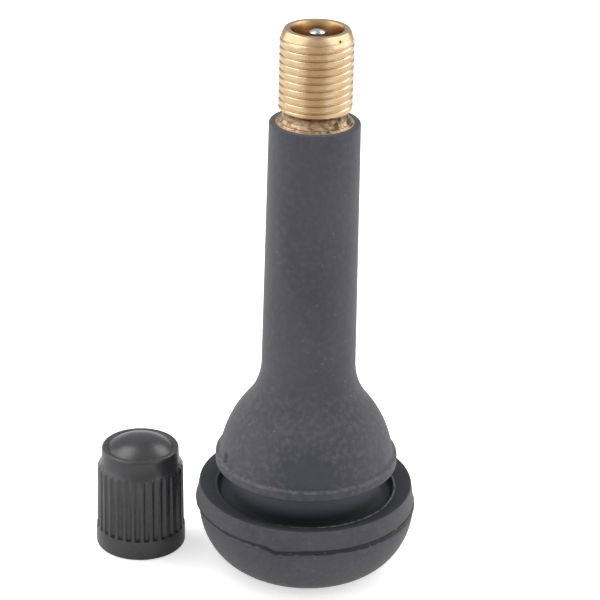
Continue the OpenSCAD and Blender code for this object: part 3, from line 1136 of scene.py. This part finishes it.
@dataclass
class BrassStem:
    """The turned stem: threaded end, stained neck, shoulder, shank and foot, with the core's bore."""

    mouth_z: float = 61.5
    mouth_edge: Point = (3.47, 61.36)
    chamfer_foot: float = 60.4
    crest_r: float = 3.85
    root_r: float = 3.66
    pitch: float = 25.4 / 32
    thread_foot: float = 52.7
    first_groove: float = 0.9
    neck_r: float = 3.45
    flare_top: float = 52.0
    core_crest_r: float = 2.6
    core_root_r: float = 2.3
    core_pitch: float = 25.4 / 36
    core_thread_foot: float = 54.2
    core_thread_top: float = 58.6
    mouth_foot: float = 60.9
    mouth_r: float = 2.8
    seat_top: Point = (2.28, 53.85)
    seat_foot: Point = (2.03, 51.65)
    chamber_r: float = 1.9
    chamber_foot: float = 41.87
    passage_r: float = 1.5
    steps: int = 160
    finish: TurnedBrass = field(default_factory=lambda: TurnedBrass(
        stained_below=52.9, shoulder_r=4.1, root_r=3.66, crest_r=3.76, bore_r=2.72))

    def threaded_end(self) -> Piece:
        """Make the end with the cap's thread, chamfered at the mouth and at its run-out.

        Returns:
            The solid end.
        """
        quarter = 0.25
        end = Thread(
            self.crest_r, self.root_r, self.pitch, self.thread_foot, self.mouth_z,
            phase=self.first_groove / self.pitch + quarter, crest_round=0.06,
        ).build("brass_turning")
        spare = 0.1
        run_out = self.crest_r - self.neck_r
        lean = (self.mouth_edge[1] - self.chamfer_foot) / (self.crest_r - self.mouth_edge[0])
        envelope = turned("thread_envelope", [
            (0, self.thread_foot - spare),
            (self.neck_r - spare, self.thread_foot - spare),
            (self.crest_r + spare, self.thread_foot + run_out + spare),
            (self.crest_r + spare, self.chamfer_foot - spare * lean),
            self.mouth_edge,
            (self.mouth_edge[0] - (self.mouth_z - self.mouth_edge[1]) - spare, self.mouth_z + spare),
            (0, self.mouth_z + spare),
        ], self.steps)
        combine(end, envelope, Cut.KEEP)
        return end

    def plain_length(self, rubber: RubberBody) -> Piece:
        """Make the neck, shoulder, shank and foot.

        Args:
            rubber: the body whose cavity they fill.

        Returns:
            The solid length below the thread.
        """
        overlap = 0.2
        shoulder_z = rubber.sleeve_top
        outline = [
            (0, rubber.foot_z),
            *reversed(rubber.cavity()[1:-1]),
            *softened([
                (rubber.shoulder_r, shoulder_z - 0.3, 0),
                (rubber.shoulder_r, shoulder_z + 0.06, 0.06),
                (rubber.shoulder_r - 0.16, shoulder_z + 0.04, 0.05),
                (rubber.shoulder_r - 0.24, shoulder_z + 0.2, 0.05),
                (rubber.shoulder_r - 0.4, shoulder_z + 0.2, 0.05),
                (self.neck_r, self.flare_top, 0.1),
                (self.neck_r, self.thread_foot, 0),
            ])[1:-1],
            (self.neck_r, self.thread_foot + overlap),
            (0, self.thread_foot + overlap),
        ]
        return turned("stem_plain_length", outline, self.steps)

    def bore(self, rubber: RubberBody) -> Piece:
        """Make the solid that bores the stem: passage, chamber, tapered seat, core thread and mouth.

        Args:
            rubber: the body whose cavity the stem fills.

        Returns:
            The solid to cut away.
        """
        spare = 0.5
        relief = 0.02
        wide_r = self.core_crest_r + relief
        slope = (self.mouth_r - self.core_crest_r) / (self.mouth_z - self.mouth_foot)
        return turned("stem_bore", [
            (0, rubber.foot_z - spare),
            (self.passage_r, rubber.foot_z - spare),
            (self.passage_r, self.chamber_foot - 0.4),
            (self.chamber_r, self.chamber_foot),
            (self.chamber_r, self.seat_foot[1]),
            self.seat_foot,
            self.seat_top,
            (wide_r, self.core_thread_foot),
            (wide_r, self.core_thread_foot + 0.3),
            (self.core_root_r, self.core_thread_foot + 0.6),
            (self.core_root_r, self.core_thread_top - 0.3),
            (wide_r, self.core_thread_top),
            (wide_r, self.mouth_foot),
            (self.mouth_r + slope * spare, self.mouth_z + spare),
            (0, self.mouth_z + spare),
        ], self.steps)

    def build(self, rubber: RubberBody) -> Piece:
        """Make the stem.

        Args:
            rubber: the body whose cavity the stem fills.

        Returns:
            The finished mesh, without its material.
        """
        piece = self.threaded_end()
        combine(piece, self.plain_length(rubber), Cut.JOIN)
        combine(piece, self.bore(rubber), Cut.REMOVE)
        tap = Thread(
            self.core_crest_r, self.core_root_r - 0.05, self.core_pitch,
            self.core_thread_foot + 0.15, self.core_thread_top + 0.1, crest_round=0.04,
        )
        combine(piece, tap.build("core_tap"), Cut.REMOVE)
        smooth(piece)
        return piece

    def dress(self, piece: Piece) -> None:
        """Give the stem its finish and hand it to the frame."""
        piece.data.materials.append(self.finish.material())
        hand_over(piece, "valve", "stem_brass", "brass_stem")


@dataclass
class ValveCore:
    """The screw-in core: threaded plug, barrel with its gasket, sprung pin and seal cup."""

    plug_foot: float = 54.7
    plug_top: float = 58.3
    plug_crest_r: float = 2.55
    plug_root_r: float = 2.2
    plug_pitch: float = 25.4 / 36
    plug_chamfer: float = 0.3
    bridge_w: float = 2.4
    bridge_h: float = 1.4
    bridge_t: float = 0.8
    pin_hole_r: float = 0.59
    plug_bore_r: float = 1.4
    pocket_r: float = 2.01
    pocket_foot: float = 55.0
    pocket_top: float = 55.72
    barrel_hole_r: float = 1.56
    plug_steps: int = 96
    pin_r: float = 0.5
    pin_top: float = 61.4
    head_r: float = 0.82
    head_h: float = 0.8
    crown: float = 0.28
    collar_r: float = 0.95
    collar_foot: float = 53.63
    collar_t: float = 0.4
    rivet_r: float = 0.85
    rivet_foot: float = 43.67
    rivet_top: float = 44.17
    pin_travel: float = 1.8
    pin_steps: int = 48
    spring_foot: float = 47.0
    spring_top: float = 53.6
    spring_r: float = 0.84
    wire_d: float = 0.26
    spring_turns: int = 8
    dead_rise: float = 1.1
    # Yellower and duller than the stem, out of the light
    brass: TurnedBrass = field(default_factory=lambda: TurnedBrass(
        name="core_brass", bright="#d8b478", warm="#c0935c", roughness=0.34))
    # The cold white glint in the mouth
    nickel: BrightMetal = field(default_factory=lambda: BrightMetal(
        "nickel_plate", "#cfd1d4", "#b6b9bd", 0.26))
    # Darker grey than the pin
    wire: BrightMetal = field(default_factory=lambda: BrightMetal(
        "drawn_spring_wire", "#a9adb2", "#7b7f85", 0.3))
    # Dull black, without dust
    rubber: SoftBlack = field(default_factory=lambda: SoftBlack(
        "gasket_rubber", "#242528", "#34353a", 0.6, 1.5))

    def build_plug(self) -> Piece:
        """Make the threaded plug with its bridge.

        Returns:
            The finished mesh, without its material.
        """
        spare = 0.1
        end_r = self.plug_crest_r - self.plug_chamfer - spare
        side_r = self.plug_crest_r + spare
        plug = Thread(
            self.plug_crest_r, self.plug_root_r, self.plug_pitch, self.plug_foot, self.plug_top,
            crest_round=0.05,
        ).build("core_plug_turning")
        envelope = turned("plug_envelope", [
            (0, self.plug_foot - spare),
            (end_r, self.plug_foot - spare),
            (side_r, self.plug_foot + self.plug_chamfer + spare),
            (side_r, self.plug_top - self.plug_chamfer - spare),
            (end_r, self.plug_top + spare),
            (0, self.plug_top + spare),
        ], self.plug_steps)
        combine(plug, envelope, Cut.KEEP)
        for side in (-1, 1):
            combine(plug, self.bridge_cut(side), Cut.REMOVE)
        hollow = turned("plug_hollow", [
            (0, self.plug_foot - spare),
            (self.barrel_hole_r, self.plug_foot - spare),
            (self.barrel_hole_r, self.pocket_foot),
            (self.pocket_r, self.pocket_foot),
            (self.pocket_r, self.pocket_top),
            (self.plug_bore_r, self.pocket_top),
            (self.plug_bore_r, self.plug_top - self.bridge_t),
            (self.pin_hole_r, self.plug_top - self.bridge_t),
            (self.pin_hole_r, self.plug_top + spare),
            (0, self.plug_top + spare),
        ], self.plug_steps)
        combine(plug, hollow, Cut.REMOVE)
        smooth(plug)
        return plug

    def bridge_cut(self, side: int) -> Piece:
        """Make the block that is cut away beside the bridge.

        Args:
            side: 1 behind the bridge, -1 before it.

        Returns:
            The solid to cut away.
        """
        deselect_all()
        depth = self.plug_crest_r * 2
        middle = Vector((0, side * (self.bridge_w + depth) / 2, self.plug_top)) * MM
        bpy.ops.mesh.primitive_cube_add(size=1, location=(0, 0, 0))
        block = bpy.context.object
        with editing(block):
            bpy.ops.transform.resize(value=(2 * depth * MM, depth * MM, 2 * self.bridge_h * MM))
            bpy.ops.transform.translate(value=middle)
        return block

    def build_pin(self) -> Piece:
        """Make the pin with its upset head, collar and riveted end.

        Returns:
            The finished mesh, without its material.
        """
        crown_r = (self.head_r ** 2 + self.crown ** 2) / (2 * self.crown)
        edge = math.degrees(math.acos(self.head_r / crown_r))
        head_foot = self.pin_top - self.head_h
        outline = softened([
            (0, self.rivet_foot, 0),
            (self.rivet_r, self.rivet_foot, 0.15),
            (self.rivet_r, self.rivet_top, 0),
            (self.pin_r, self.rivet_top, 0),
            (self.pin_r, self.collar_foot, 0),
            (self.collar_r, self.collar_foot, 0.05),
            (self.collar_r, self.collar_foot + self.collar_t, 0.1),
            (self.pin_r, self.collar_foot + self.collar_t, 0),
            (self.pin_r, head_foot, 0.1),
            (self.head_r, head_foot + 0.1, 0.08),
            (self.head_r, self.pin_top - self.crown, 0),
        ])
        crown = arc((0, self.pin_top - crown_r), crown_r, edge, 90, 8)
        pin = turned("pin_turning", [*outline, *crown[1:-1], (0, self.pin_top)], self.pin_steps)
        smooth(pin)
        return pin

    def build_spring(self) -> Piece:
        """Wind the spring as a bevelled curve and make it a mesh.

        Returns:
            The finished mesh, without its material.
        """
        per_turn = 32
        dead = self.dead_rise * self.wire_d
        free = self.spring_turns - 2
        pitch = (self.spring_top - self.spring_foot - self.wire_d - 2 * dead) / free
        deselect_all()
        bpy.ops.curve.primitive_nurbs_path_add(location=(0, 0, 0))
        coil = bpy.context.object
        coil.name = coil.data.name = "spring_winding"
        coil.data.splines.clear()
        line = coil.data.splines.new("POLY")
        line.points.add(self.spring_turns * per_turn)
        for i, point in enumerate(line.points):
            turn = i / per_turn
            dead_turns = min(turn, 1) + max(turn - self.spring_turns + 1, 0)
            free_turns = min(max(turn - 1, 0), free)
            z = self.spring_foot + self.wire_d / 2 + (dead * dead_turns + pitch * free_turns)
            angle = math.tau * turn
            x, y = self.spring_r * math.cos(angle), self.spring_r * math.sin(angle)
            point.co = (x * MM, y * MM, z * MM, 1)
        coil.data.bevel_depth = self.wire_d / 2 * MM
        coil.data.bevel_resolution = 4
        coil.data.use_fill_caps = True
        make_active(coil)
        bpy.ops.object.convert(target="MESH")
        spring = bpy.context.object
        smooth(spring, 60)
        return spring

    def dress(self, plug: Piece, pin: Piece, spring: Piece, nodes: dict[str, Piece]) -> None:
        """Give the core's pieces and its CAD nodes their finishes and hand the pieces to the frame.

        Args:
            plug: the threaded plug.
            pin: the pin.
            spring: the spring.
            nodes: CAD nodes by name.
        """
        brass = self.brass.material()
        rubber = self.rubber.material()
        plug.data.materials.append(brass)
        hand_over(plug, "plug", "core_brass", "core_plug")
        pin.data.materials.append(self.nickel.material())
        hand_over(pin, "pin", "pin_nickel", "core_pin")
        spring.data.materials.clear()
        spring.data.materials.append(self.wire.material())
        hand_over(spring, "core", "spring_steel", "core_spring")
        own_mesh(spring)
        for name, finish in (
            ("core_barrel", brass), ("seal_cup", brass),
            ("barrel_gasket", rubber), ("cup_gasket", rubber), ("cap_seal", rubber),
        ):
            nodes[name].data.materials.clear()
            nodes[name].data.materials.append(finish)
            LOG.info("%s: CAD node in %s", name, finish.name)


@dataclass
class ScrewCap:
    """The moulded cap: domed top, plain collar, flutes, plain band and threaded inside."""

    axis: Point = (-18.5, 2.2)
    band_r: float = 5.005
    band_h: float = 2.0
    flute_foot: float = 2.6
    flute_foot_r: float = 4.87
    flute_top: float = 9.6
    flute_top_r: float = 4.77
    bevel_top: float = 10.3
    collar_r: float = 4.34
    rim_z: float = 12.0
    rim_r: float = 4.29
    edge_round: float = 0.3
    step: float = 0.1
    dome_r: float = 3.59
    dome_h: float = 1.1
    flutes: int = 30
    cut_foot: float = 2.3
    cut_r: float = 0.32
    cut_depth: float = 0.26
    bore_r: float = 3.9
    thread_r: float = 3.52
    bore_l: float = 9.2
    lead_in: float = 0.4
    seal_r: float = 3.5
    seal_t: float = 1.2
    pitch: float = 25.4 / 32
    steps_per_flute: int = 12
    # Near black, with soft highlights on the dome and the flutes
    finish: SoftBlack = field(default_factory=lambda: SoftBlack(
        "moulded_black_plastic", "#363638", "#3e3e41", 0.27, 1.5, grain_depth=0.008))

    def side_r(self, z: float) -> float:
        """Find the radius over the flutes, before the grooves are cut.

        Args:
            z: height in mm.

        Returns:
            The radius there.
        """
        return read_off([
            (0, self.band_r), (self.band_h, self.band_r), (self.flute_foot, self.flute_foot_r),
            (self.flute_top, self.flute_top_r), (self.bevel_top, self.collar_r), (self.rim_z, self.rim_r),
        ], z)

    def groove_rows(self) -> list[float]:
        """List the rows of vertices that the grooves are cut in.

        Returns:
            Their heights, upwards.
        """
        bevel_h = self.bevel_top - self.flute_top
        flute_h = self.flute_top - self.flute_foot
        run_out = [self.flute_top + share * bevel_h for share in (0.15, 0.3, 0.45, 0.6)]
        middle = [self.flute_foot + flute_h * share for share in (0.25, 0.5, 0.75)]
        return [self.cut_foot + 0.06, self.flute_foot, *middle, self.flute_top, *run_out]

    def outline(self) -> list[Point]:
        """Draw the cap with the core of its thread, before its grooves are cut.

        Returns:
            Points of its half section.
        """
        rise = self.dome_h + self.step
        crown_r = (self.dome_r ** 2 + rise ** 2) / (2 * rise)
        spread = math.degrees(math.asin(self.dome_r / crown_r))
        foot_c = (self.band_r - self.edge_round, self.edge_round)
        rim_c = (self.rim_r - self.edge_round, self.rim_z - self.edge_round)
        inside = [
            (0, self.bore_l + self.seal_t),
            (self.seal_r, self.bore_l + self.seal_t),
            (self.seal_r, self.bore_l),
            (self.thread_r, self.bore_l),
            (self.thread_r, self.lead_in + self.bore_r - self.thread_r),
            (self.bore_r + self.lead_in, 0),
        ]
        rows = (self.band_h, self.cut_foot, *self.groove_rows(), self.bevel_top)
        top = [
            *arc(rim_c, self.edge_round, 0, 90, 6),
            (self.dome_r + self.step, self.rim_z),
            *arc((0, self.rim_z + self.dome_h - crown_r), crown_r, 90 - spread, 90, 18)[:-1],
            (0, self.rim_z + self.dome_h),
        ]
        side = [(self.side_r(z), z) for z in rows]
        return [*inside, *arc(foot_c, self.edge_round, -90, 0, 5), *side, *top]

    def in_groove(self, co: Vector, z: float, side_r: float, phase: int) -> bool:
        """Tell whether a vertex lies in one row of the side, at one phase of a groove.

        Args:
            co: place of the vertex in metres.
            z: height of the row.
            side_r: radius of the row.
            phase: steps around from the middle of the groove.

        Returns:
            Whether it lies there.
        """
        near = 1e-3 * MM
        arm = co - Vector((*self.axis, 0)) * MM
        if abs(co.z - z * MM) > near or abs(arm.xy.length - side_r * MM) > near:
            return False
        turn = math.atan2(arm.x, -arm.y) / math.tau * (self.flutes * self.steps_per_flute)
        along = round(turn) % self.steps_per_flute
        return min(along, self.steps_per_flute - along) == phase

    def cut_flutes(self, piece: Piece) -> None:
        """Press the grooves between the flutes into the side, one row and one phase at a time.

        Args:
            piece: the turned cap.
        """
        centre = Vector((*self.axis, 0)) * MM
        groove_c = self.flute_foot_r - self.cut_depth + self.cut_r
        steps = self.flutes * self.steps_per_flute
        with editing(piece):
            for z in self.groove_rows():
                side_r = self.side_r(z)
                for phase in range(self.steps_per_flute // 2):
                    off = side_r * math.sin(math.tau * phase / steps)
                    if off >= self.cut_r:
                        break
                    floor_r = groove_c - math.sqrt(self.cut_r ** 2 - off ** 2)
                    if floor_r >= side_r:
                        break
                    if select_by_place(piece, partial(self.in_groove, z=z, side_r=side_r, phase=phase)):
                        share = floor_r / side_r
                        bpy.ops.transform.resize(value=(share, share, 1), center_override=centre)

    def build(self) -> Piece:
        """Make the cap.

        Returns:
            The finished mesh, without its material.
        """
        piece = turned("cap_moulding", self.outline(), self.flutes * self.steps_per_flute, self.axis)
        self.cut_flutes(piece)
        tap = Thread(
            self.bore_r, self.thread_r - 0.04, self.pitch, -0.5, self.bore_l - 0.25, axis=self.axis,
        )
        combine(piece, tap.build("cap_tap"), Cut.REMOVE)
        smooth(piece, 34)
        return piece

    def dress(self, piece: Piece) -> None:
        """Give the cap its finish and hand it to the frame."""
        piece.data.materials.append(self.finish.material())
        hand_over(piece, "valve", "cap_plastic", "valve_cap")


@dataclass(frozen=True)
class SoftBox:
    """A square lamp that lights the valve and shows in its gloss."""

    name: str
    place: Place
    size: float
    watts: float
    aim: Place = (0.0, 0.0, 30.0)

    def hang(self) -> None:
        """Add the lamp to the scene."""
        lamp = bpy.data.lights.new(self.name, "AREA")
        lamp.shape = "SQUARE"
        lamp.size = self.size * MM
        lamp.energy = self.watts
        holder = bpy.data.objects.new(self.name, lamp)
        bpy.context.scene.collection.objects.link(holder)
        holder.location = Vector(self.place) * MM
        direction = (Vector(self.aim) - Vector(self.place)).normalized()
        holder.rotation_euler = direction.to_track_quat("-Z", "Y").to_euler()


@dataclass(frozen=True)
class GreyCard:
    """A card that only reflections see: level at a tilt of 0, upright and facing along Y at 90."""

    name: str
    width: float
    height: float
    place: Place
    shade: str
    tilt: float = 90.0

    def hang(self) -> None:
        """Add the card to the scene."""
        deselect_all()
        bpy.ops.mesh.primitive_plane_add(size=1, location=(0, 0, 0))
        card = bpy.context.object
        card.name = self.name
        turn = math.radians(self.tilt)
        with editing(card):
            bpy.ops.transform.resize(value=(self.width * MM, self.height * MM, 1))
            bpy.ops.transform.rotate(value=turn, orient_axis="X", center_override=(0, 0, 0))
            bpy.ops.transform.translate(value=Vector(self.place) * MM)
        # An even shade, whatever the light
        paper = Coat.named(self.name + "_paper").finished({
            "Base Color": (0, 0, 0, 1),
            "Specular IOR Level": 0,
            "Emission Color": linear(self.shade),
            "Emission Strength": 1,
        })
        card.data.materials.append(paper)
        card.visible_camera = False
        card.visible_diffuse = False
        card.visible_shadow = False
        card.visible_transmission = False


@dataclass
class Studio:
    """White table and surroundings, soft lamps, grey cards around the valve, and the camera."""

    eye: Place = (-1.091, -216.973, 129.148)
    target: Place = (-1.091, 0.0, 31.2)
    roll: float = 1.4068
    lens: float = 133.415
    sensor: float = 36.0
    nearest: float = 10.0
    floor_size: float = 6000.0
    floor_white: str = "#f4f4f4"
    ambient: float = 0.5
    table_glow: float = 0.1
    camera_glow: float = 0.45
    lamps: tuple[SoftBox, ...] = (
        SoftBox("back_left_box", (-220, 110, 450), 230, 0.6),
        SoftBox("back_right_box", (285, 300, 430), 200, 0.55),
        SoftBox("left_box", (-600, 0, 320), 1000, 3.3),
        SoftBox("right_box", (600, 0, 320), 1000, 3.4),
    )
    cards: tuple[GreyCard, ...] = (
        GreyCard("front_card", 72, 105, (0, -60, 58), "#dacbb9"),
        GreyCard("top_card", 190, 460, (10, -80, 400), "#a8a5a1", tilt=0),
        GreyCard("back_card", 1000, 840, (0, 420, 480), "#bcbcc0"),
    )

    def build(self) -> None:
        """Set up everything around the valve."""
        self.world()
        self.floor()
        for item in (*self.lamps, *self.cards):
            item.hang()
        self.camera()
        bpy.context.scene.view_settings.view_transform = "Standard"

    def shown(self, patterns: Patterns) -> Socket:
        """Mask the rays that see the surroundings: the camera's, and those through gloss or glass.

        Args:
            patterns: the node tree in work.

        Returns:
            The mask's socket.
        """
        rays = add_node(patterns.tree, "LightPath").outputs
        through = patterns.calc(Sum.LARGEST, rays["Is Glossy Ray"], rays["Is Transmission Ray"])
        return patterns.calc(Sum.LARGEST, rays["Is Camera Ray"], through)

    def world(self) -> None:
        """White to the camera and in reflections, dimmer as a light."""
        world = bpy.data.worlds.new("white_surroundings")
        world.use_nodes = True
        bpy.context.scene.world = world
        patterns = Patterns(world.node_tree)
        strength = patterns.ramp(self.shown(patterns), 0, 1, self.ambient, 1)
        fill(patterns.tree, patterns.tree.nodes["Background"], {"Color": (1, 1, 1, 1), "Strength": strength})

    def floor(self) -> None:
        """A pale table that stays white to the camera but keeps the shadow."""
        deselect_all()
        bpy.ops.mesh.primitive_plane_add(size=self.floor_size * MM, location=(0, 0, 0))
        table = bpy.context.object
        table.name = "white_table"
        # Flat white paint that glows a little, so that only the shadow shows
        paint = Coat.named("white_table_paint")
        seen = add_node(paint.tree, "LightPath").outputs["Is Camera Ray"]
        glow = paint.product(self.shown(paint), self.table_glow)
        table.data.materials.append(paint.finished({
            "Base Color": linear(self.floor_white),
            "Roughness": 0.9,
            "Specular IOR Level": 0.1,
            "Emission Color": (1, 1, 1, 1),
            "Emission Strength": paint.calc(Sum.TIMES_PLUS, seen, self.camera_glow, glow),
        }))

    def camera(self) -> None:
        """Put the camera where the photo was taken from."""
        data = bpy.data.cameras.new("photo_camera")
        data.lens = self.lens
        data.sensor_width = self.sensor
        data.clip_start = self.nearest * MM
        camera = bpy.data.objects.new("photo_camera", data)
        bpy.context.scene.collection.objects.link(camera)
        eye = Vector(self.eye) * MM
        facing = (Vector(self.target) * MM - eye).to_track_quat("-Z", "Y").to_matrix().to_4x4()
        roll = Matrix.Rotation(math.radians(self.roll), 4, "Z")
        camera.matrix_world = Matrix.Translation(eye) @ facing @ roll
        bpy.context.scene.camera = camera


def corners(box: tuple[Vector, Vector]) -> list[list[float]]:
    """Write a box as plain lists of numbers.

    Args:
        box: its two corners.

    Returns:
        The corners' numbers.
    """
    return [list(corner) for corner in box]


def main() -> None:
    """Load the frame and build and dress each sub-assembly."""
    logging.basicConfig(level=logging.INFO, format="%(name)s: %(message)s")
    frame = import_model()
    Studio().build()

    rubber = RubberBody()
    rubber.dress(rubber.build())
    stem = BrassStem()
    stem.dress(stem.build(rubber))
    core = ValveCore()
    core.dress(core.build_plug(), core.build_pin(), core.build_spring(), frame["nodes"])
    cap = ScrewCap()
    cap.dress(cap.build())


if __name__ == "__main__":
    main()
